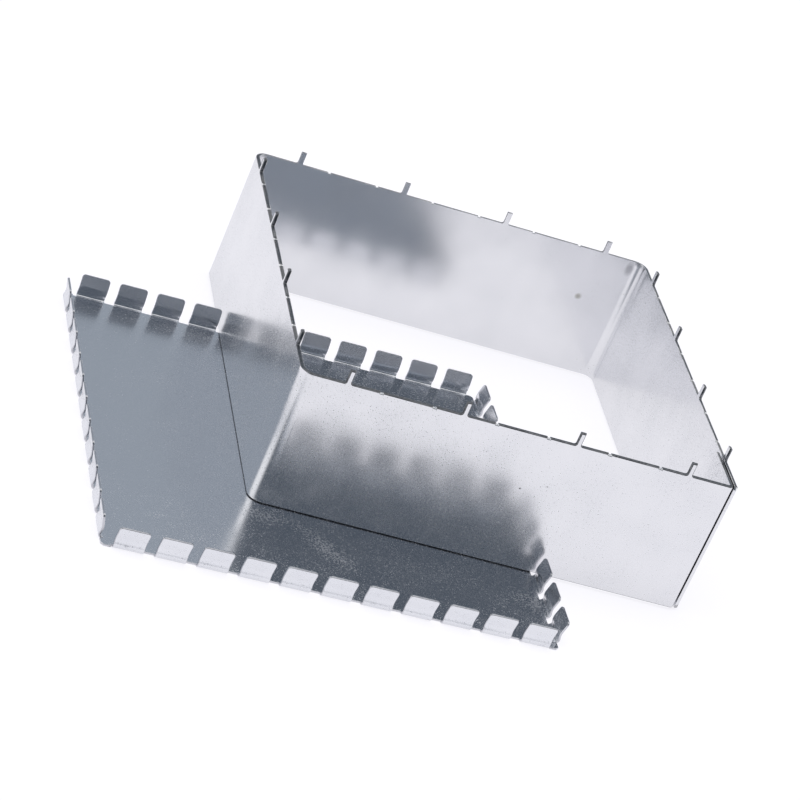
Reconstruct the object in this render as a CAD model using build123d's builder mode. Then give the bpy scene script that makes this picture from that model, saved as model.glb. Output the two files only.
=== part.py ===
from build123d import *
from math import cos, floor, pi, radians, sin, tan
import os

# Board shield can in tin-plated steel, two pieces: a fence with solder pins and its push-on cover.
# The cover lies on its outer face with its spring fingers up, and the fence stands in it upside down.
# Millimetres. Origin at the centre of the cover's outer face, X along the front edge, Y to the back.

# Fence: one strip bent round four corners, its ends lapped at the front right one
fence_side = 48.8  # outside, wall to wall
fence_h = 15.875  # strip height, pins apart
fence_t = 0.4  # strip thickness
corner_r = 1.5  # outside radius of the three open bends
lap_r = 0.55  # outside radius of the tight bend under the lap
lap_len = 7.0  # inner tab, from the front face
lap_gap = 0.12  # between the inner tab and the wall over it
lap_setback = 0.3  # cut end of the outer wall, behind the front face

# Solder pins, blanked in one with the strip
pin_pitch = 12.7
pin_w = 0.6
pin_len = 1.5
pin_root_r = 0.2  # relief arcs where a pin leaves the rim
first_pin_front = 5.0  # from the left wall's outside
first_pin_back = 5.35
first_pin_left = 5.8  # from the front wall's outside
first_pin_right = 5.8
last_pin_margin = 4.2  # least distance from the last pin to the next corner

# Shear nicks in the rim, two after each pin
nick_w = 0.3
nick_depth = 0.14
nick_first = 3.6  # from the pin before
nick_second = 9.4

# Cover: a blank with four rows of spring fingers formed up
cover_t = 0.25  # sheet thickness
cover_fit = 0.05  # between the fence and the foot of a finger, each side
bend_r = 0.3  # inside radius at the foot
finger_pitch = 4.342
finger_gap = 1.14
finger_lean = 15.0  # degrees, inward from the foot to the knee
knee_h = 0.9  # knee over the inner face
knee_r = 1.5  # radius on the outside of the knee
flare_angle = 13.8  # degrees, outward from the knee to the tip
flare_len = 1.615
tip_r = 0.35  # rounded corners of a tip
corner_tab = 1.3  # flat left at each end of a row, outer face to first finger
corner_relief = 0.1  # slit between a row's end and the corner tab
corner_chamfer = 0.3

# Where the fence stands on the cover
fence_turn = -1.67  # degrees about Z
back_gap_no = 4  # the left wall passes the back row after this finger, from the left
right_gap_no = 3  # the front wall passes the right row after this finger, from the front
back_row_shift = 0.3  # the back row sits this far to the right of centre
left_wall_off = -0.03  # walls off the middle of their gaps
front_wall_off = 0.13

# Worked-out sizes
fence_half = fence_side / 2
cover_half = fence_half + cover_fit + cover_t
finger_w = finger_pitch - finger_gap
finger_count = floor((2 * (cover_half - corner_tab) + finger_gap) / finger_pitch)
row_half = (finger_count * finger_pitch - finger_gap) / 2
lean = radians(finger_lean)
flare = radians(flare_angle)
outer_r = bend_r + cover_t
bend_line = cover_half - outer_r  # the gaps between the fingers are cut back to it

# One finger in section, from the plate's edge over the foot bend and the knee to the tip
foot = cover_half + outer_r * (tan(pi / 4 + lean / 2) - 1)
knee = Vector(foot - (cover_t + knee_h) * tan(lean), cover_t + knee_h)
tip = knee + Vector(sin(flare), cos(flare)) * flare_len

with BuildSketch(Plane.XZ) as section:
    with BuildLine():
        FilletPolyline((bend_line - cover_t, 0), (foot, 0), knee, tip, radius=[outer_r, knee_r])
        offset(amount=cover_t, side=Side.LEFT)
    make_face()

with BuildPart() as finger:
    extrude(section.sketch, amount=finger_w / 2, both=True)
    tip_face = finger.faces().sort_by(Axis.Z)[-1]
    fillet(tip_face.edges().filter_by(Axis.Y, reverse=True), radius=tip_r)

# Cover: plate with flat corner tabs, then a row of fingers on each side
with BuildPart() as cover:
    with BuildSketch() as plate:
        Rectangle(2 * bend_line, 2 * bend_line)
        tab_in = row_half + corner_relief
        tab_out = cover_half - cover_t
        with BuildSketch(mode=Mode.PRIVATE) as tab:
            with Locations((tab_in, tab_in)):
                Rectangle(tab_out - tab_in, tab_out - tab_in, align=Align.MIN)
            chamfer(tab.vertices().sort_by_distance((0, 0))[-1], length=corner_chamfer)
        with PolarLocations(0, 4):
            add(tab.sketch)
    extrude(amount=cover_t)
    row_shifts = [0, -back_row_shift, 0, 0]
    for side, row_shift in enumerate(row_shifts):
        with Locations(Location((0, 0, 0), (0, 0, 90 * side))):
            with Locations((0, row_shift)):
                with GridLocations(0, finger_pitch, 1, finger_count):
                    add(finger.part)

# Outline of one pin, its foot on the rim
with BuildSketch() as pin:
    with BuildLine():
        left_root = (-pin_w / 2, pin_root_r)
        right_root = (pin_w / 2, pin_root_r)
        RadiusArc((-pin_w / 2 - pin_root_r, 0), left_root, -pin_root_r)
        Polyline(left_root, (-pin_w / 2, pin_len), (pin_w / 2, pin_len), right_root)
        RadiusArc(right_root, (pin_w / 2 + pin_root_r, 0), -pin_root_r)
        Line((pin_w / 2 + pin_root_r, 0), (-pin_w / 2 - pin_root_r, 0))
    make_face()


# Run of the strip seen from above, at a depth under its outer face, from the cut end to the tab
def strip_line(depth):
    side = fence_half - depth
    lap_x = fence_half - fence_t - lap_gap - depth
    return FilletPolyline(
        (side, lap_setback - fence_half),
        (side, side),
        (-side, side),
        (-side, -side),
        (lap_x, -side),
        (lap_x, lap_len - fence_half),
        radius=[corner_r - depth, corner_r - depth, corner_r - depth, lap_r - depth],
    )


# Fence about its own centre, rim with the pins up
mid = fence_half - fence_t / 2
wall_planes = {
    "front": Plane((-fence_half, -mid, fence_h), x_dir=(1, 0, 0), z_dir=(0, -1, 0)),
    "back": Plane((-fence_half, mid, fence_h), x_dir=(1, 0, 0), z_dir=(0, -1, 0)),
    "left": Plane((-mid, -fence_half, fence_h), x_dir=(0, 1, 0), z_dir=(1, 0, 0)),
    "right": Plane((mid, -fence_half, fence_h), x_dir=(0, 1, 0), z_dir=(1, 0, 0)),
}
first_pins = {
    "front": first_pin_front,
    "back": first_pin_back,
    "left": first_pin_left,
    "right": first_pin_right,
}

with BuildPart() as strip:
    with BuildSketch():
        with BuildLine():
            outside = strip_line(0)
            inside = strip_line(fence_t)
            Line(outside @ 0, inside @ 0)
            Line(outside @ 1, inside @ 1)
        make_face()
    extrude(amount=fence_h)
    for wall, plane in wall_planes.items():
        first = first_pins[wall]
        pin_count = floor((fence_side - first - last_pin_margin) / pin_pitch) + 1
        pins = [first + i * pin_pitch for i in range(pin_count)]
        nicks = [place + step for place in pins[:-1] for step in (nick_first, nick_second)]
        with BuildSketch(plane):
            with Locations([(place, 0) for place in pins]):
                add(pin.sketch)
        extrude(amount=fence_t / 2, both=True)
        with BuildSketch(plane):
            with Locations([(place, 0) for place in nicks]):
                Rectangle(nick_w, 2 * nick_depth)
        extrude(amount=fence_t / 2, both=True, mode=Mode.SUBTRACT)

# The left wall stands in a gap of the back row and the front wall in one of the right row
turn = radians(fence_turn)
along_x = Vector(cos(turn), sin(turn))
along_y = Vector(-sin(turn), cos(turn))
back_gap_x = back_row_shift - row_half + back_gap_no * finger_pitch - finger_gap / 2 + left_wall_off
right_gap_y = -row_half + right_gap_no * finger_pitch - finger_gap / 2 + front_wall_off
reach_x = Vector(back_gap_x, cover_half).dot(along_x) + mid
reach_y = Vector(cover_half, right_gap_y).dot(along_y) + mid
centre = along_x * reach_x + along_y * reach_y

with BuildPart() as fence:
    with Locations(Location((centre.X, centre.Y, cover_t), (0, 0, fence_turn))):
        add(strip.part)

cover.part.label = "cover"
fence.part.label = "fence"
os.makedirs("parts", exist_ok=True)
export_step(cover.part, "parts/cover.step")
export_step(fence.part, "parts/fence.step")
print("fence centre", round(centre.X, 3), round(centre.Y, 3), "fingers in a row", finger_count)
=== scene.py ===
from math import cos, pi, radians, sin, tan

import bmesh
import bpy
from mathutils import Matrix, Quaternion, Vector


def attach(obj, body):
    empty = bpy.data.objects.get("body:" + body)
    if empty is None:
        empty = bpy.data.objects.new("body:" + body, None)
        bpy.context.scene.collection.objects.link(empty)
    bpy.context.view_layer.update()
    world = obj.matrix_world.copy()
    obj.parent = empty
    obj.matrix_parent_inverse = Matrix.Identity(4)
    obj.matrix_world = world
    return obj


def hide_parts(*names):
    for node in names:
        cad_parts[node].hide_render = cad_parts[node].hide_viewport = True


# Shield can in two tin-plated pieces: the fence, solder pins up, standing partly on its upturned cover.
# Each sheet is punched flat with its cut edges rolled, then Geometry Nodes bend it.
print("loading the shield can")
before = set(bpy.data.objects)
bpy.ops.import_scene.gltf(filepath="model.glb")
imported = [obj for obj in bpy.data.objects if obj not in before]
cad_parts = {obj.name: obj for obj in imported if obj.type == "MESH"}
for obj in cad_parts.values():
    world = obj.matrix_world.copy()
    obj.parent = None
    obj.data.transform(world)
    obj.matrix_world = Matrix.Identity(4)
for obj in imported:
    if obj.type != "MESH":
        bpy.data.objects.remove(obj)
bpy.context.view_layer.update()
mm = 0.001


def linearColour(hexText):
    channels = [int(hexText[i:i + 2], 16) / 255 for i in (1, 3, 5)]
    linear = [c / 12.92 if c <= 0.04045 else ((c + 0.055) / 1.055) ** 2.4 for c in channels]
    return (*linear, 1.0)


def addNode(tree, kind, inputs=None, **settings):
    # Sockets go by name, or by number where a node has several of one name.
    # On a Mix node 0 is the factor, 2 and 3 are its numbers, 6 and 7 its colours.
    node = tree.nodes.new(kind)
    for name, value in settings.items():
        setattr(node, name, value)
    for socket, value in (inputs or {}).items():
        if isinstance(value, bpy.types.NodeSocket):
            tree.links.new(value, node.inputs[socket])
        else:
            node.inputs[socket].default_value = value
    return node


def newMaterial(name):
    material = bpy.data.materials.new(name)
    material.use_nodes = True
    material.node_tree.nodes.clear()
    return material


def addSockets(tree, sockets):
    for name, kind in sockets.items():
        tree.interface.new_socket(name, in_out="INPUT", socket_type=kind)
    tree.interface.new_socket("Geometry", in_out="OUTPUT", socket_type="NodeSocketGeometry")


def runTree(thing, tree, values):
    # Runs a tree on an object and returns the result as a plain mesh
    modifier = thing.modifiers.new(tree.name, "NODES")
    modifier.node_group = tree
    for item in tree.interface.items_tree:
        if item.in_out == "INPUT" and item.name in values:
            modifier[item.identifier] = values[item.name]
    evaluated = thing.evaluated_get(bpy.context.evaluated_depsgraph_get())
    mesh = bpy.data.meshes.new_from_object(evaluated)
    thing.modifiers.remove(modifier)
    return mesh


# What the strip mill and the tin bath leave on both sheets
tinPlate = {
    "roughnessSpread": 0.05,
    "cloudMm": 6.0,
    "cloudRange": (0.25, 0.75),
    "cloudDensity": 0.12,
    "crystalMm": 0.2,  # real tin crystals are finer, drawn coarse enough to glint at this size
    "crystalCut": (0.62, 0.7),
    "rollLineMm": 0.16,
    "rollLineLengthMm": 14.0,
    "rollLineDepthMm": 0.0008,
    "waveMm": 8.0,
    "waveDepthMm": 0.012,
    "markCore": 0.2,  # the inner share of a mark's reach that has its full strength
}


def tinPlateMaterial(name, sheet, acrossRoll):
    # Electro-tinned cold-rolled steel: a soft mirror, blurred and specked by the tin's crystals
    material = newMaterial(name)
    tree = material.node_tree
    place = addNode(tree, "ShaderNodeTexCoord")
    flat = addNode(
        tree,
        "ShaderNodeMapping",
        {
            "Vector": place.outputs["Object"],
            "Location": Vector(sheet["centreMm"]) * mm,
            "Rotation": (0, 0, radians(sheet["turnDegrees"])),
        },
        vector_type="TEXTURE",
    )
    # The mill's lines are long and lie close: acrossRoll says which axes they are narrow on
    alongScale = 1 / (tinPlate["rollLineLengthMm"] * mm)
    acrossScale = 1 / (tinPlate["rollLineMm"] * mm)
    drawn = addNode(
        tree,
        "ShaderNodeVectorMath",
        {0: flat.outputs[0], 1: [acrossScale if across else alongScale for across in acrossRoll]},
        operation="MULTIPLY",
    )
    rollLines = addNode(
        tree,
        "ShaderNodeTexNoise",
        {"Vector": drawn.outputs[0], "Scale": 1.0, "Detail": 1.0},
    )
    wave = addNode(
        tree,
        "ShaderNodeTexNoise",
        {"Vector": flat.outputs[0], "Scale": 1 / (tinPlate["waveMm"] * mm), "Detail": 1.0},
    )
    cloud = addNode(
        tree,
        "ShaderNodeTexNoise",
        {"Vector": flat.outputs[0], "Scale": 1 / (tinPlate["cloudMm"] * mm), "Detail": 3.0},
    )
    wavy = addNode(
        tree,
        "ShaderNodeBump",
        {"Height": wave.outputs["Fac"], "Strength": 1.0, "Distance": tinPlate["waveDepthMm"] * mm},
    )
    normal = addNode(
        tree,
        "ShaderNodeBump",
        {
            "Height": rollLines.outputs["Fac"],
            "Strength": 1.0,
            "Distance": tinPlate["rollLineDepthMm"] * mm,
            "Normal": wavy.outputs[0],
        },
    )
    # Matt crystals stand in the bright tin, in clouds, and thickest where the sheet has been scuffed.
    # The clouds' noise averages one half, so it enters doubled and the cut below is raised to match.
    crystals = addNode(
        tree,
        "ShaderNodeTexNoise",
        {"Vector": flat.outputs[0], "Scale": 1 / (tinPlate["crystalMm"] * mm), "Detail": 1.0},
    )
    density = addNode(
        tree,
        "ShaderNodeMath",
        {0: cloud.outputs["Fac"], 1: tinPlate["cloudDensity"] * 2, 2: crystals.outputs["Fac"]},
        operation="MULTIPLY_ADD",
    ).outputs[0]
    # A mark with a colour stains the tin. One without thickens the crystals, or thins them below zero
    stains = []
    for mark in sheet["marks"].values():
        spread = addNode(
            tree,
            "ShaderNodeMapping",
            {
                "Vector": flat.outputs[0],
                "Location": Vector(mark["placeMm"]) * mm,
                "Rotation": (0, 0, radians(mark["turnDegrees"])),
                "Scale": Vector(mark["reachMm"]) * mm,
            },
            vector_type="TEXTURE",
        )
        away = addNode(tree, "ShaderNodeVectorMath", {0: spread.outputs[0]}, operation="LENGTH")
        share = addNode(
            tree,
            "ShaderNodeMapRange",
            {
                "Value": away.outputs["Value"],
                "From Min": 1.0,
                "From Max": tinPlate["markCore"],
                "To Max": mark["strength"],
            },
            interpolation_type="SMOOTHSTEP",
        )
        if "colour" in mark:
            stains.append((share.outputs[0], mark["colour"]))
        else:
            inputs = {0: density, 1: share.outputs[0]}
            density = addNode(tree, "ShaderNodeMath", inputs, operation="ADD").outputs[0]
    start, end = (cut + tinPlate["cloudDensity"] for cut in tinPlate["crystalCut"])
    speck = addNode(tree, "ShaderNodeMapRange", {"Value": density, "From Min": start, "From Max": end})
    haze = addNode(
        tree,
        "ShaderNodeMapRange",
        {
            "Value": cloud.outputs["Fac"],
            "From Min": tinPlate["cloudRange"][0],
            "From Max": tinPlate["cloudRange"][1],
            "To Min": sheet["roughness"] - tinPlate["roughnessSpread"],
            "To Max": sheet["roughness"] + tinPlate["roughnessSpread"],
        },
    )
    rough = addNode(
        tree,
        "ShaderNodeMix",
        {0: speck.outputs[0], 2: haze.outputs[0], 3: sheet["crystalRoughness"]},
        data_type="FLOAT",
    )
    tin = addNode(
        tree,
        "ShaderNodeMix",
        {0: cloud.outputs["Fac"], 6: linearColour(sheet["tin"]), 7: linearColour(sheet["tinShade"])},
        data_type="RGBA",
    )
    colour = tin.outputs[2]
    for share, stain in stains:
        inputs = {0: share, 6: colour, 7: linearColour(stain)}
        colour = addNode(tree, "ShaderNodeMix", inputs, data_type="RGBA").outputs[2]
    shader = addNode(
        tree,
        "ShaderNodeBsdfPrincipled",
        {
            "Base Color": colour,
            "Metallic": 1.0,
            "Roughness": rough.outputs[0],
            "Normal": normal.outputs[0],
        },
    )
    addNode(tree, "ShaderNodeOutputMaterial", {"Surface": shader.outputs[0]})
    return material


def edgeMaterial(name, sheet):
    # The punched edge, steel torn bare of its tin, with a rough grain; the rolled-over skin beside it
    # takes the same material. On the fence it is darkened to near-black as painted shade, for the dark
    # line along the rim and the shadow in the groove at the wall's foot; on the cover it stays light
    material = newMaterial(name)
    tree = material.node_tree
    place = addNode(tree, "ShaderNodeTexCoord")
    grain = addNode(
        tree,
        "ShaderNodeTexNoise",
        {"Vector": place.outputs["Object"], "Scale": 1 / (sheet["tearMm"] * mm), "Detail": 2.0},
    )
    steel = addNode(
        tree,
        "ShaderNodeMix",
        {0: grain.outputs["Fac"], 6: linearColour(sheet["edgeColour"]), 7: linearColour(sheet["tear"])},
        data_type="RGBA",
    )
    torn = addNode(
        tree,
        "ShaderNodeBump",
        {"Height": grain.outputs["Fac"], "Strength": 1.0, "Distance": sheet["tearDepthMm"] * mm},
    )
    shader = addNode(
        tree,
        "ShaderNodeBsdfPrincipled",
        {
            "Base Color": steel.outputs[2],
            "Metallic": 1.0,
            "Roughness": sheet["tearRoughness"],
            "Normal": torn.outputs[0],
        },
    )
    addNode(tree, "ShaderNodeOutputMaterial", {"Surface": shader.outputs[0]})
    return material


def insetLoop(loop, distance):
    # Every edge of an anticlockwise outline moves inwards by the distance
    moved = []
    for before, corner, after in zip(loop[-1:] + loop[:-1], loop, loop[1:] + loop[:1]):
        first = (corner - before).normalized()
        second = (after - corner).normalized()
        inward = Vector((-first.y - second.y, first.x + second.x))
        moved.append(corner + inward * (distance / (1 + first.dot(second))))
    return moved


def arcPoints(centre, radius, start, turn, steps=5):
    angles = [start + turn * i / steps for i in range(steps + 1)]
    return [Vector((centre[0] + radius * cos(a), centre[1] + radius * sin(a))) for a in angles]


def bendLines(start, length, steps):
    # Where one bend is cut into even steps, along the flat sheet
    return [start + length * i / steps for i in range(steps + 1)]


def punchedBlank(name, outline, sheet, linesAlong=(), linesAcross=(), rollSteps=4, burrSteps=2):
    # The punch drags the outer skin over the cut edge and leaves a small burr on the inner one.
    # The lines are cuts through the flat blank, so that it has edges to bend at.
    # The strip's two ends and its nicks are left out of the cut-edge mark, so they keep the tin and none
    # of the fence's painted shade.
    thick, burr = sheet["thickMm"], sheet["burrMm"]
    roll, rollDepth = sheet["rollMm"], sheet["rollDepthMm"]
    rollAngles = [pi / 2 * i / rollSteps for i in range(rollSteps + 1)]
    burrAngles = [pi / 2 * i / burrSteps for i in range(burrSteps + 1)]
    rings = [(roll * (1 - sin(angle)), rollDepth * (1 - cos(angle))) for angle in rollAngles]
    rings += [(burr * (1 - cos(angle)), thick - burr + burr * sin(angle)) for angle in burrAngles]
    work = bmesh.new()
    sheared = work.faces.layers.bool.new("sheared")
    loops = []
    for inset, depth in rings:
        corners = insetLoop(outline, inset)
        loops.append([work.verts.new(Vector((*corner, depth)) * mm) for corner in corners])
    for ring, (low, high) in enumerate(zip(loops, loops[1:])):
        for i in range(len(outline)):
            face = work.faces.new((low[i - 1], low[i], high[i], high[i - 1]))
            fromRim = (outline[i].y + outline[i - 1].y) / 2
            isTinned = sheet["tinnedEdgeMm"][0] < fromRim < sheet["tinnedEdgeMm"][1]
            # The rolled-over skin is marked along with the cut face, so that on the fence the near-black
            # painted shade makes the dark line along the rim and the shadow in the groove at the wall's
            # foot
            face[sheared] = ring <= rollSteps and not isTinned
    work.faces.new(loops[0][::-1])  # outer skin
    work.faces.new(loops[-1])  # inner skin
    cuts = [((line, 0, 0), (1, 0, 0)) for line in linesAlong]
    cuts += [((0, line, 0), (0, 1, 0)) for line in linesAcross]
    sameSpot = 1e-7
    for point, axis in cuts:
        place = Vector(point) * mm
        everything = work.verts[:] + work.edges[:] + work.faces[:]
        bmesh.ops.bisect_plane(work, geom=everything, dist=sameSpot, plane_co=place, plane_no=axis)
    mesh = bpy.data.meshes.new(name)
    work.to_mesh(mesh)
    work.free()
    blank = bpy.data.objects.new(name, mesh)
    bpy.context.scene.collection.objects.link(blank)
    return blank


def makeSheetBend():
    # One bend: where it starts along the flat sheet, its radius on the outer skin, and its angle.
    # A radius below zero bends the sheet outwards. Bends are made from the far end back to the near one.
    tree = bpy.data.node_groups.new("sheet bend", "GeometryNodeTree")
    addSockets(
        tree,
        {
            "Geometry": "NodeSocketGeometry",
            "Along": "NodeSocketFloat",
            "Start": "NodeSocketFloat",
            "Radius": "NodeSocketFloat",
            "Angle": "NodeSocketFloat",
        },
    )
    given = addNode(tree, "NodeGroupInput").outputs
    place = addNode(tree, "GeometryNodeInputPosition")
    axes = addNode(tree, "ShaderNodeSeparateXYZ", {0: place.outputs[0]}).outputs
    over = addNode(tree, "ShaderNodeMath", {0: given["Along"], 1: given["Start"]}, operation="SUBTRACT")
    size = addNode(tree, "ShaderNodeMath", {0: given["Radius"]}, operation="ABSOLUTE")
    arc = addNode(tree, "ShaderNodeMath", {0: size.outputs[0], 1: given["Angle"]}, operation="MULTIPLY")
    run = addNode(tree, "ShaderNodeClamp", {"Value": over.outputs[0], "Min": 0.0, "Max": arc.outputs[0]})
    turn = addNode(tree, "ShaderNodeMath", {0: run.outputs[0], 1: given["Radius"]}, operation="DIVIDE")
    # What lies beyond the bend turns with it as one stiff piece
    inputs = {0: over.outputs[0], 1: arc.outputs[0]}
    beyond = addNode(tree, "ShaderNodeMath", inputs, operation="GREATER_THAN")
    end = addNode(tree, "ShaderNodeMath", {0: given["Start"], 1: arc.outputs[0]}, operation="ADD")
    rest = addNode(tree, "ShaderNodeMath", {0: axes["X"], 1: end.outputs[0]}, operation="SUBTRACT")
    inputs = {0: rest.outputs[0], 1: beyond.outputs[0]}
    past = addNode(tree, "ShaderNodeMath", inputs, operation="MULTIPLY")
    base = addNode(tree, "ShaderNodeMath", {0: given["Along"], 1: given["Start"]}, operation="MINIMUM")
    drop = addNode(tree, "ShaderNodeMath", {0: axes["Z"], 1: given["Radius"]}, operation="SUBTRACT")
    arm = addNode(tree, "ShaderNodeCombineXYZ", {0: past.outputs[0], 1: axes["Y"], 2: drop.outputs[0]})
    turned = addNode(
        tree,
        "ShaderNodeVectorRotate",
        {"Vector": arm.outputs[0], "Angle": turn.outputs[0]},
        rotation_type="Y_AXIS",
        invert=True,
    )
    centre = addNode(tree, "ShaderNodeCombineXYZ", {0: base.outputs[0], 2: given["Radius"]})
    inputs = {0: turned.outputs[0], 1: centre.outputs[0]}
    moved = addNode(tree, "ShaderNodeVectorMath", inputs, operation="ADD")
    inputs = {"Geometry": given["Geometry"], "Position": moved.outputs[0]}
    bent = addNode(tree, "GeometryNodeSetPosition", inputs)
    addNode(tree, "NodeGroupOutput", {"Geometry": bent.outputs[0]})
    return tree


def addFlatLength(tree, geometry):
    # Keeps each point's place along the flat sheet, to be read after it has moved
    place = addNode(tree, "GeometryNodeInputPosition")
    axes = addNode(tree, "ShaderNodeSeparateXYZ", {0: place.outputs[0]})
    kept = addNode(tree, "GeometryNodeCaptureAttribute")
    kept.capture_items.new("FLOAT", "Along")
    tree.links.new(geometry, kept.inputs["Geometry"])
    tree.links.new(axes.outputs["X"], kept.inputs["Along"])
    return kept.outputs


def addFinish(tree, geometry, given):
    # One real mesh, with tin on its skins and the edge material on its cut and rolled edges: torn steel,
    # which on the fence is darkened as painted shade
    real = addNode(tree, "GeometryNodeRealizeInstances", {"Geometry": geometry})
    inputs = {"Geometry": real.outputs[0], "Material": given["Material"]}
    tinned = addNode(tree, "GeometryNodeSetMaterial", inputs)
    sheared = addNode(tree, "GeometryNodeInputNamedAttribute", {"Name": "sheared"}, data_type="BOOLEAN")
    inputs = {
        "Geometry": tinned.outputs[0],
        "Selection": sheared.outputs[0],
        "Material": given["Edge Material"],
    }
    edged = addNode(tree, "GeometryNodeSetMaterial", inputs)
    addNode(tree, "NodeGroupOutput", {"Geometry": edged.outputs[0]})


def showPiece(nodeName, sheet, mesh):
    mesh.name = sheet["name"]
    mesh.shade_smooth()
    piece = bpy.data.objects.new(sheet["name"], mesh)
    bpy.context.scene.collection.objects.link(piece)
    weighted = piece.modifiers.new("flat faces", "WEIGHTED_NORMAL")
    weighted.weight = 80  # flat walls stay flat beside their rolled edges
    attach(piece, "root")
    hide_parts(nodeName)


print("sheet bend")
sheetBend = makeSheetBend()

fenceStrip = {
    "name": "fence_strip",
    "slot": "fence_tin_plate",
    "centreMm": (17.646, 13.691, 0.25),
    "turnDegrees": -1.67,
    "sideMm": 48.8,
    "heightMm": 15.875,
    "thickMm": 0.4,
    "rollMm": 0.12,
    "rollDepthMm": 0.28,
    "burrMm": 0.04,
    "tinnedEdgeMm": (0.01, 10.0),  # heights over the rim that take in the nicks and the two ends
    "edgeLineMm": 0.6,
    "bendSteps": 10,
    "cornerRadiusMm": 1.5,
    "lapRadiusMm": 0.55,
    "lapLengthMm": 7.0,
    "lapGapMm": 0.12,
    "lapSetbackMm": 0.3,
    "pinWidthMm": 0.6,
    "pinLengthMm": 1.5,
    "pinRootMm": 0.2,
    "pinPitchMm": 12.7,
    "pinCount": 4,
    "firstPinMm": {"right": 5.8, "back": 5.35, "left": 5.8, "front": 5.0},
    "nickWidthMm": 0.3,
    "nickDepthMm": 0.14,
    "nickStepsMm": (3.6, 9.4),
    "tin": "#f6f6f8",
    "tinShade": "#ecedf0",
    "roughness": 0.22,
    "crystalRoughness": 0.48,
    # torn steel darkened to near-black: painted shade for the dark line along the rim and the shadow in
    # the groove where the wall's foot meets the cover
    "edgeColour": "#424448",
    "tear": "#9a9ca0",
    "tearMm": 0.35,
    "tearDepthMm": 0.02,
    "tearRoughness": 0.33,
    "marks": {
        "smooth back wall": {
            "placeMm": (0.0, 24.2, 8.0),
            "turnDegrees": 0,
            "reachMm": (60.0, 3.0, 30.0),
            "strength": -0.12,
        },
        "brown stain": {
            "placeMm": (18.2, 24.0, 9.65),
            "turnDegrees": 0,
            "reachMm": (0.55, 0.3, 0.55),
            "strength": 0.55,
            "colour": "#7d7a5e",
        },
        "grey smudge": {
            "placeMm": (22.6, 24.0, 14.75),
            "turnDegrees": 0,
            "reachMm": (0.7, 0.35, 1.2),
            "strength": 0.5,
            "colour": "#7b7c82",
        },
        "speck at the foot of the back right bend": {
            "placeMm": (23.9, 24.0, 2.05),
            "turnDegrees": 0,
            "reachMm": (0.2, 0.2, 0.2),
            "strength": 0.9,
            "colour": "#5b5a58",
        },
        "long tick on the front wall": {
            "placeMm": (2.1, -24.4, 9.35),
            "turnDegrees": 30,
            "reachMm": (0.22, 0.12, 0.14),
            "strength": 0.9,
            "colour": "#4b4c50",
        },
        "small tick on the front wall": {
            "placeMm": (4.8, -24.4, 10.35),
            "turnDegrees": 0,
            "reachMm": (0.12, 0.12, 0.12),
            "strength": 0.7,
            "colour": "#5b5c60",
        },
    },
}


def fenceOutline(starts):
    # The strip as it is punched, rim down: pins stand out of the rim and the nicks are cut into it
    half = fenceStrip["sideMm"] / 2
    radius = fenceStrip["cornerRadiusMm"]
    pinHalf = fenceStrip["pinWidthMm"] / 2
    root = fenceStrip["pinRootMm"]
    nickHalf = fenceStrip["nickWidthMm"] / 2
    # Pins are measured from the front on the side walls, and from the left on the other two.
    # The strip runs right, back, left, front, so it meets the back and left walls' pins in reverse.
    wallZeros = {
        "right": (-fenceStrip["lapSetbackMm"], 1),
        "back": (starts["corner 2"] + radius, -1),
        "left": (starts["corner 3"] + radius, -1),
        "front": (starts["corner 3"] + radius * (pi / 2 - 1), 1),
    }
    details = []
    for wall, (zero, way) in wallZeros.items():
        for number in range(fenceStrip["pinCount"]):
            pin = fenceStrip["firstPinMm"][wall] + number * fenceStrip["pinPitchMm"]
            details.append((zero + way * pin, "pin"))
            if number < fenceStrip["pinCount"] - 1:
                details += [(zero + way * (pin + step), "nick") for step in fenceStrip["nickStepsMm"]]
    outline = [Vector((0, 0))]
    for middle, kind in sorted(details):
        if kind == "nick":
            near, far, depth = middle - nickHalf, middle + nickHalf, fenceStrip["nickDepthMm"]
            nick = ((near, 0), (near, depth), (far, depth), (far, 0))
            outline += [Vector(point) for point in nick]
            continue
        near, far, tip = middle - pinHalf, middle + pinHalf, -fenceStrip["pinLengthMm"]
        outline += arcPoints((near - root, -root), root, pi / 2, -pi / 2)
        outline += [Vector((near, tip)), Vector((far, tip))]
        outline += arcPoints((far + root, -root), root, pi, -pi / 2)
    height = fenceStrip["heightMm"]
    return outline + [Vector((starts["end"], 0)), Vector((starts["end"], height)), Vector((0, height))]


def makeFenceTree():
    tree = bpy.data.node_groups.new("strip round four corners", "GeometryNodeTree")
    corners = ("Lap Corner", "Corner 3", "Corner 2", "Corner 1")
    sockets = {
        "Geometry": "NodeSocketGeometry",
        "Material": "NodeSocketMaterial",
        "Edge Material": "NodeSocketMaterial",
    }
    for name in (*corners, "Corner Radius", "Lap Radius"):
        sockets[name] = "NodeSocketFloat"
    addSockets(tree, sockets)
    given = addNode(tree, "NodeGroupInput").outputs
    flat = addFlatLength(tree, given["Geometry"])
    shape = flat["Geometry"]
    for corner in corners:
        radius = given["Lap Radius" if corner == "Lap Corner" else "Corner Radius"]
        inputs = {
            "Geometry": shape,
            "Along": flat["Along"],
            "Start": given[corner],
            "Radius": radius,
            "Angle": pi / 2,
        }
        shape = addNode(tree, "GeometryNodeGroup", inputs, node_tree=sheetBend).outputs[0]
    addFinish(tree, shape, given)
    return tree


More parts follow.
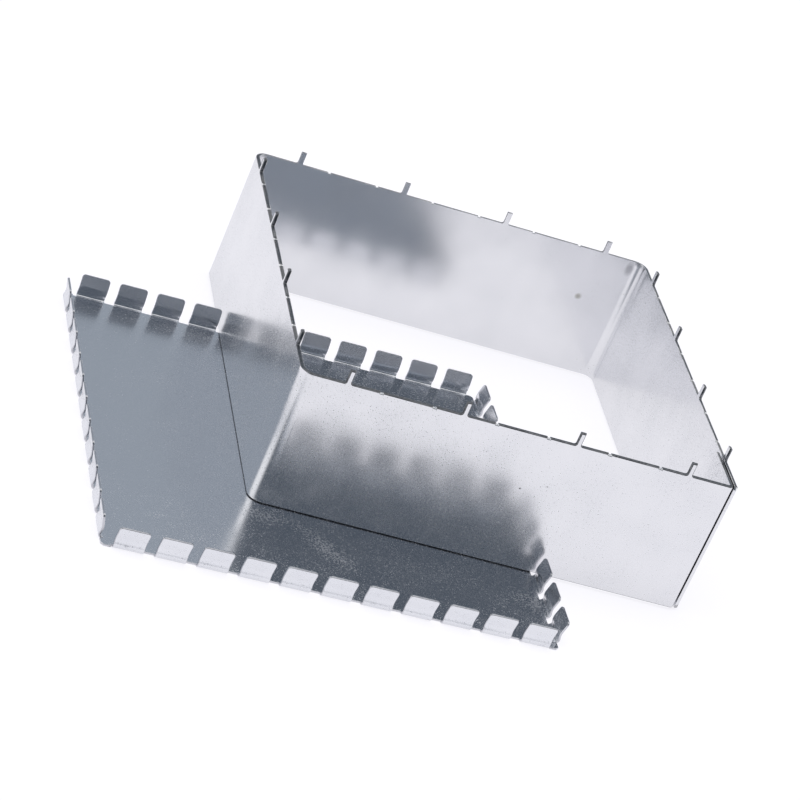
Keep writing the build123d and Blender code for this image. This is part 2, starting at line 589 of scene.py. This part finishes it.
def makeFence():
    side, radius = fenceStrip["sideMm"], fenceStrip["cornerRadiusMm"]
    arc, straight = radius * pi / 2, side - 2 * radius
    lapRadius = fenceStrip["lapRadiusMm"]
    starts = {"corner 1": side - radius - fenceStrip["lapSetbackMm"]}
    starts["corner 2"] = starts["corner 1"] + arc + straight
    starts["corner 3"] = starts["corner 2"] + arc + straight
    lapInset = fenceStrip["thickMm"] + fenceStrip["lapGapMm"]
    starts["lap"] = starts["corner 3"] + arc + side - radius - lapInset - lapRadius
    starts["end"] = starts["lap"] + lapRadius * pi / 2 + fenceStrip["lapLengthMm"] - lapRadius
    lines = bendLines(starts["lap"], lapRadius * pi / 2, fenceStrip["bendSteps"])
    for corner in ("corner 1", "corner 2", "corner 3"):
        lines += bendLines(starts[corner], arc, fenceStrip["bendSteps"])
    edgeLine = fenceStrip["edgeLineMm"]
    linesAcross = (edgeLine, fenceStrip["heightMm"] - edgeLine)
    blank = punchedBlank("fence blank", fenceOutline(starts), fenceStrip, lines, linesAcross)
    values = {
        "Material": tinPlateMaterial("fence electro-tinned strip", fenceStrip, (False, False, True)),
        "Edge Material": edgeMaterial("fence cut edge in painted shade", fenceStrip),
        "Corner 1": starts["corner 1"] * mm,
        "Corner 2": starts["corner 2"] * mm,
        "Corner 3": starts["corner 3"] * mm,
        "Lap Corner": starts["lap"] * mm,
        "Corner Radius": radius * mm,
        "Lap Radius": lapRadius * mm,
    }
    mesh = runTree(blank, makeFenceTree(), values)
    bpy.data.objects.remove(blank)
    # Stands the strip up, rim on top, and sets it on the cover
    upright = Matrix(((0, 0, -1), (1, 0, 0), (0, -1, 0))).to_4x4()
    start = Vector((side / 2, fenceStrip["lapSetbackMm"] - side / 2, fenceStrip["heightMm"])) * mm
    turn = Matrix.Rotation(radians(fenceStrip["turnDegrees"]), 4, "Z")
    centre = Matrix.Translation(Vector(fenceStrip["centreMm"]) * mm)
    mesh.transform(centre @ turn @ Matrix.Translation(start) @ upright)
    showPiece("fence", fenceStrip, mesh)


print("fence strip")
makeFence()

coverSheet = {
    "name": "cover_sheet",
    "slot": "cover_tin_plate",
    "centreMm": (0, 0, 0),
    "turnDegrees": 0,
    "halfSideMm": 24.7,
    "thickMm": 0.25,
    "rollMm": 0.07,
    "rollDepthMm": 0.07,
    "burrMm": 0.035,
    "tinnedEdgeMm": (0.0, 0.0),  # none
    "footRadiusMm": 0.55,
    "leanDegrees": 15.0,
    "kneeHeightMm": 1.15,
    "kneeRadiusMm": 1.5,
    "flareDegrees": 13.8,
    "flareMm": 1.615,
    "tipRadiusMm": 0.35,
    "fingerPitchMm": 4.342,
    "fingerGapMm": 1.14,
    "fingerCount": 11,
    "backRowShiftMm": 0.3,
    "cornerReliefMm": 0.1,
    "cornerChamferMm": 0.3,
    "rootMm": 0.12,  # how far each finger's root reaches back into the plate
    "underSkinMm": 0.006,  # the plate's skins lie this far under the fingers' roots, too little to see
    "footSteps": 14,
    "kneeSteps": 8,
    "tin": "#f4f5f8",
    "tinShade": "#e9ebf0",
    "roughness": 0.22,
    "crystalRoughness": 0.5,
    "edgeColour": "#c9cacf",
    "tear": "#e2e2e6",
    "tearMm": 0.3,
    "tearDepthMm": 0.02,
    "tearRoughness": 0.3,
    "marks": {
        "smooth left side": {
            "placeMm": (-19.0, 4.0, 0.25),
            "turnDegrees": 0,
            "reachMm": (17.0, 30.0, 9.0),
            "strength": -0.11,
        },
        "scuff at the front": {
            "placeMm": (0.6, -15.9, 0.25),
            "turnDegrees": -48,
            "reachMm": (6.0, 2.4, 2.0),
            "strength": 0.17,
        },
        "scuff by the fence": {
            "placeMm": (-5.0, -12.0, 0.25),
            "turnDegrees": 5,
            "reachMm": (5.0, 2.6, 2.0),
            "strength": 0.13,
        },
        "scuff at the front right corner": {
            "placeMm": (22.9, -16.4, 0.25),
            "turnDegrees": 0,
            "reachMm": (3.0, 2.5, 2.0),
            "strength": 0.15,
        },
        "scuff at the front left corner": {
            "placeMm": (-18.2, -17.05, 0.25),
            "turnDegrees": 20,
            "reachMm": (2.0, 0.8, 2.0),
            "strength": 0.12,
        },
        "back fingers burnished by the forming tool": {
            "placeMm": (0.0, 25.2, 1.5),
            "turnDegrees": 0,
            "reachMm": (60.0, 2.2, 9.0),
            "strength": -0.14,
        },
    },
}


def plateOutline():
    count, pitch = coverSheet["fingerCount"], coverSheet["fingerPitchMm"]
    edge = coverSheet["halfSideMm"] - coverSheet["footRadiusMm"]
    slit = (count * pitch - coverSheet["fingerGapMm"]) / 2 + coverSheet["cornerReliefMm"]
    tab = coverSheet["halfSideMm"] - coverSheet["thickMm"]
    cut = tab - coverSheet["cornerChamferMm"]
    points = ((edge, slit), (tab, slit), (tab, cut), (cut, tab), (slit, tab), (slit, edge))
    corner = [Vector(point) for point in points]
    outline = []
    for number in range(4):
        outline += [Matrix.Rotation(pi / 2 * number, 2) @ point for point in corner]
    return outline


def makeCoverTree():
    tree = bpy.data.node_groups.new("cover with four rows of fingers", "GeometryNodeTree")
    sockets = {
        "Geometry": "NodeSocketGeometry",
        "Plate": "NodeSocketObject",
        "Material": "NodeSocketMaterial",
        "Edge Material": "NodeSocketMaterial",
        "Finger Count": "NodeSocketInt",
    }
    sizes = ("Finger Pitch", "Back Row Shift", "Foot Start", "Foot Radius", "Foot Angle")
    for name in (*sizes, "Knee Start", "Knee Radius", "Knee Angle"):
        sockets[name] = "NodeSocketFloat"
    addSockets(tree, sockets)
    given = addNode(tree, "NodeGroupInput").outputs
    flat = addFlatLength(tree, given["Geometry"])
    shape = flat["Geometry"]
    for bend in ("Knee", "Foot"):
        inputs = {
            "Geometry": shape,
            "Along": flat["Along"],
            "Start": given[bend + " Start"],
            "Radius": given[bend + " Radius"],
            "Angle": given[bend + " Angle"],
        }
        shape = addNode(tree, "GeometryNodeGroup", inputs, node_tree=sheetBend).outputs[0]
    # One row, centred, then the same row on each side
    steps = addNode(tree, "ShaderNodeMath", {0: given["Finger Count"], 1: 1.0}, operation="SUBTRACT")
    inputs = {0: steps.outputs[0], 1: given["Finger Pitch"]}
    length = addNode(tree, "ShaderNodeMath", inputs, operation="MULTIPLY")
    first = addNode(tree, "ShaderNodeMath", {0: length.outputs[0], 1: -0.5}, operation="MULTIPLY")
    firstPlace = addNode(tree, "ShaderNodeCombineXYZ", {1: first.outputs[0]})
    step = addNode(tree, "ShaderNodeCombineXYZ", {1: given["Finger Pitch"]})
    places = addNode(
        tree,
        "GeometryNodeMeshLine",
        {
            "Count": given["Finger Count"],
            "Start Location": firstPlace.outputs[0],
            "Offset": step.outputs[0],
        },
    )
    inputs = {"Points": places.outputs[0], "Instance": shape}
    row = addNode(tree, "GeometryNodeInstanceOnPoints", inputs)
    number = addNode(tree, "GeometryNodeInputIndex")
    quarter = addNode(tree, "ShaderNodeMath", {0: number.outputs[0], 1: pi / 2}, operation="MULTIPLY")
    turn = addNode(tree, "ShaderNodeCombineXYZ", {2: quarter.outputs[0]})
    sides = addNode(tree, "GeometryNodeMeshLine", {"Count": 4, "Offset": (0, 0, 0)})
    rows = addNode(
        tree,
        "GeometryNodeInstanceOnPoints",
        {"Points": sides.outputs[0], "Instance": row.outputs[0], "Rotation": turn.outputs[0]},
    )
    # Rows are numbered from 0: right, back, left, front
    backRow, leeway = 1.0, 0.1
    inputs = {0: number.outputs[0], 1: backRow, 2: leeway}
    isBack = addNode(tree, "ShaderNodeMath", inputs, operation="COMPARE")
    inputs = {0: isBack.outputs[0], 1: given["Back Row Shift"]}
    shift = addNode(tree, "ShaderNodeMath", inputs, operation="MULTIPLY")
    shiftPlace = addNode(tree, "ShaderNodeCombineXYZ", {0: shift.outputs[0]})
    shifted = addNode(
        tree,
        "GeometryNodeTranslateInstances",
        {"Instances": rows.outputs[0], "Translation": shiftPlace.outputs[0], "Local Space": False},
    )
    plate = addNode(tree, "GeometryNodeObjectInfo", {"Object": given["Plate"]})
    joined = addNode(tree, "GeometryNodeJoinGeometry", {"Geometry": shifted.outputs[0]})
    tree.links.new(plate.outputs["Geometry"], joined.inputs["Geometry"])
    addFinish(tree, joined.outputs[0], given)
    return tree


def makeCover():
    lean, flare = radians(coverSheet["leanDegrees"]), radians(coverSheet["flareDegrees"])
    footRadius, kneeRadius = coverSheet["footRadiusMm"], coverSheet["kneeRadiusMm"]
    footAngle, kneeAngle = pi / 2 + lean, lean + flare
    # The straight runs that are left between the bends and after them
    footStart = coverSheet["halfSideMm"] - footRadius
    kneeTrim = kneeRadius * tan(kneeAngle / 2)
    footRun = coverSheet["kneeHeightMm"] / cos(lean) - footRadius * tan(footAngle / 2) - kneeTrim
    kneeStart = footStart + footRadius * footAngle + footRun
    tip = kneeStart + kneeRadius * kneeAngle + coverSheet["flareMm"] - kneeTrim
    width = (coverSheet["fingerPitchMm"] - coverSheet["fingerGapMm"]) / 2
    root, corner = footStart - coverSheet["rootMm"], coverSheet["tipRadiusMm"]
    outline = [Vector((root, -width))]
    outline += arcPoints((tip - corner, corner - width), corner, -pi / 2, pi / 2)
    outline += arcPoints((tip - corner, width - corner), corner, 0, pi / 2)
    outline.append(Vector((root, width)))
    lines = bendLines(footStart, footRadius * footAngle, coverSheet["footSteps"])
    lines += bendLines(kneeStart, kneeRadius * kneeAngle, coverSheet["kneeSteps"])
    finger = punchedBlank("finger blank", outline, coverSheet, lines)
    under = coverSheet["underSkinMm"]
    thinner = {**coverSheet, "thickMm": coverSheet["thickMm"] - 2 * under}
    plate = punchedBlank("plate blank", plateOutline(), thinner)
    plate.data.transform(Matrix.Translation((0, 0, under * mm)))
    values = {
        "Plate": plate,
        "Material": tinPlateMaterial("cover electro-tinned sheet", coverSheet, (False, True, True)),
        "Edge Material": edgeMaterial("cover sheared steel edge", coverSheet),
        "Finger Count": coverSheet["fingerCount"],
        "Finger Pitch": coverSheet["fingerPitchMm"] * mm,
        "Back Row Shift": coverSheet["backRowShiftMm"] * mm,
        "Foot Start": footStart * mm,
        "Foot Radius": footRadius * mm,
        "Foot Angle": footAngle,
        "Knee Start": kneeStart * mm,
        "Knee Radius": -kneeRadius * mm,
        "Knee Angle": kneeAngle,
    }
    mesh = runTree(finger, makeCoverTree(), values)
    for blank in (finger, plate):
        bpy.data.objects.remove(blank)
    showPiece("cover", coverSheet, mesh)


print("cover sheet")
makeCover()

studio = {
    "paper": "#7f7f82",
    "glow": "#fbfaff",
    "glowStrength": 0.86,
    "mirroredGlowStrength": 0.72,
    "floorSize": 6.0,  # metres, as the lamp's size and place
    "white": "#ffffff",
    "lampPower": 3.2,
    "lampSize": 0.8,
    "lampPlace": (-0.12, -0.06, 0.8),
    # Heading is -1 towards the front and 1 towards the back; heights are degrees over the horizon
    "sides": {
        "grey back": {
            "colour": "#969ea8",
            "heading": (0.2, 0.6),
            "bottom": (8, 14),
            "top": (44, 74),
        },
        "dark camera side": {
            "colour": "#525a64",
            "heading": (-0.3, -0.7),
            "bottom": (-2, -1),
            "top": (58, 82),
        },
    },
}


def makeFloor():
    half = studio["floorSize"] / 2
    mesh = bpy.data.meshes.new("floor")
    corners = [(-half, -half, 0), (half, -half, 0), (half, half, 0), (-half, half, 0)]
    mesh.from_pydata(corners, [], [(0, 1, 2, 3)])
    floor = bpy.data.objects.new("floor", mesh)
    bpy.context.scene.collection.objects.link(floor)
    # Matt paper that glows to white for the camera, and somewhat less where the metal mirrors it
    material = newMaterial("matt pale paper")
    tree = material.node_tree
    diffuse = addNode(tree, "ShaderNodeBsdfDiffuse", {"Color": linearColour(studio["paper"])})
    path = addNode(tree, "ShaderNodeLightPath")
    inputs = {0: path.outputs["Is Camera Ray"], 1: studio["glowStrength"]}
    seen = addNode(tree, "ShaderNodeMath", inputs, operation="MULTIPLY")
    lift = addNode(
        tree,
        "ShaderNodeMath",
        {0: path.outputs["Is Glossy Ray"], 1: studio["mirroredGlowStrength"], 2: seen.outputs[0]},
        operation="MULTIPLY_ADD",
    )
    inputs = {"Color": linearColour(studio["glow"]), "Strength": lift.outputs[0]}
    glow = addNode(tree, "ShaderNodeEmission", inputs)
    both = addNode(tree, "ShaderNodeAddShader", {0: diffuse.outputs[0], 1: glow.outputs[0]})
    addNode(tree, "ShaderNodeOutputMaterial", {"Surface": both.outputs[0]})
    mesh.materials.append(material)


def makeWorld():
    # White tent, with the dark side where the camera stands and a grey side behind the object
    world = bpy.data.worlds.new("studio")
    bpy.context.scene.world = world
    world.use_nodes = True
    tree = world.node_tree
    tree.nodes.clear()
    place = addNode(tree, "ShaderNodeTexCoord")
    axes = addNode(tree, "ShaderNodeSeparateXYZ", {0: place.outputs["Generated"]})
    inputs = {0: axes.outputs["X"], 1: axes.outputs["X"]}
    xSquared = addNode(tree, "ShaderNodeMath", inputs, operation="MULTIPLY")
    level = addNode(
        tree,
        "ShaderNodeMath",
        {0: axes.outputs["Y"], 1: axes.outputs["Y"], 2: xSquared.outputs[0]},
        operation="MULTIPLY_ADD",
    )
    reach = addNode(tree, "ShaderNodeMath", {0: level.outputs[0]}, operation="SQRT")
    inputs = {0: axes.outputs["Y"], 1: reach.outputs[0]}
    heading = addNode(tree, "ShaderNodeMath", inputs, operation="DIVIDE")
    colour = linearColour(studio["white"])
    for side in studio["sides"].values():
        edges = [(heading.outputs[0], side["heading"])]
        for heights in (side["bottom"], side["top"][::-1]):
            edges.append((axes.outputs["Z"], [sin(radians(height)) for height in heights]))
        share = 1.0
        for value, (start, end) in edges:
            edge = addNode(
                tree,
                "ShaderNodeMapRange",
                {"Value": value, "From Min": start, "From Max": end},
                interpolation_type="SMOOTHSTEP",
            )
            inputs = {0: share, 1: edge.outputs[0]}
            share = addNode(tree, "ShaderNodeMath", inputs, operation="MULTIPLY").outputs[0]
        inputs = {0: share, 6: colour, 7: linearColour(side["colour"])}
        colour = addNode(tree, "ShaderNodeMix", inputs, data_type="RGBA").outputs[2]
    background = addNode(tree, "ShaderNodeBackground", {"Color": colour, "Strength": 1.0})
    addNode(tree, "ShaderNodeOutputWorld", {"Surface": background.outputs[0]})


def makeLamp(name, place, size, power):
    data = bpy.data.lights.new(name, "AREA")
    data.size = size
    data.energy = power
    lamp = bpy.data.objects.new(name, data)
    lamp.location = place
    lamp.rotation_mode = "QUATERNION"
    lamp.rotation_quaternion = Vector(place).to_track_quat("Z", "Y")
    lamp.visible_glossy = False  # hangs outside the tent, whose white cloth is all that the tin mirrors
    bpy.context.scene.collection.objects.link(lamp)


print("studio")
makeFloor()
makeWorld()
makeLamp("top softbox", studio["lampPlace"], studio["lampSize"], studio["lampPower"])

cameraView = {
    "targetMm": (14.55, 19.23, 0.25),
    "distanceMm": 359.93,
    "azimuthDegrees": 21.05,
    "elevationDegrees": 26.3,
    "rollDegrees": 23.96,
    "lensMm": 145.36,
}


def makeCamera():
    azimuth = radians(cameraView["azimuthDegrees"])
    elevation = radians(cameraView["elevationDegrees"])
    back = Vector((-sin(azimuth) * cos(elevation), -cos(azimuth) * cos(elevation), sin(elevation)))
    data = bpy.data.cameras.new("camera")
    data.lens = cameraView["lensMm"]
    camera = bpy.data.objects.new("camera", data)
    camera.location = (Vector(cameraView["targetMm"]) + back * cameraView["distanceMm"]) * mm
    camera.rotation_mode = "QUATERNION"
    roll = Quaternion((0, 0, 1), radians(cameraView["rollDegrees"]))
    camera.rotation_quaternion = back.to_track_quat("Z", "Y") @ roll
    bpy.context.scene.collection.objects.link(camera)
    bpy.context.scene.camera = camera


print("camera")
makeCamera()
bpy.context.scene.view_settings.view_transform = "Standard"
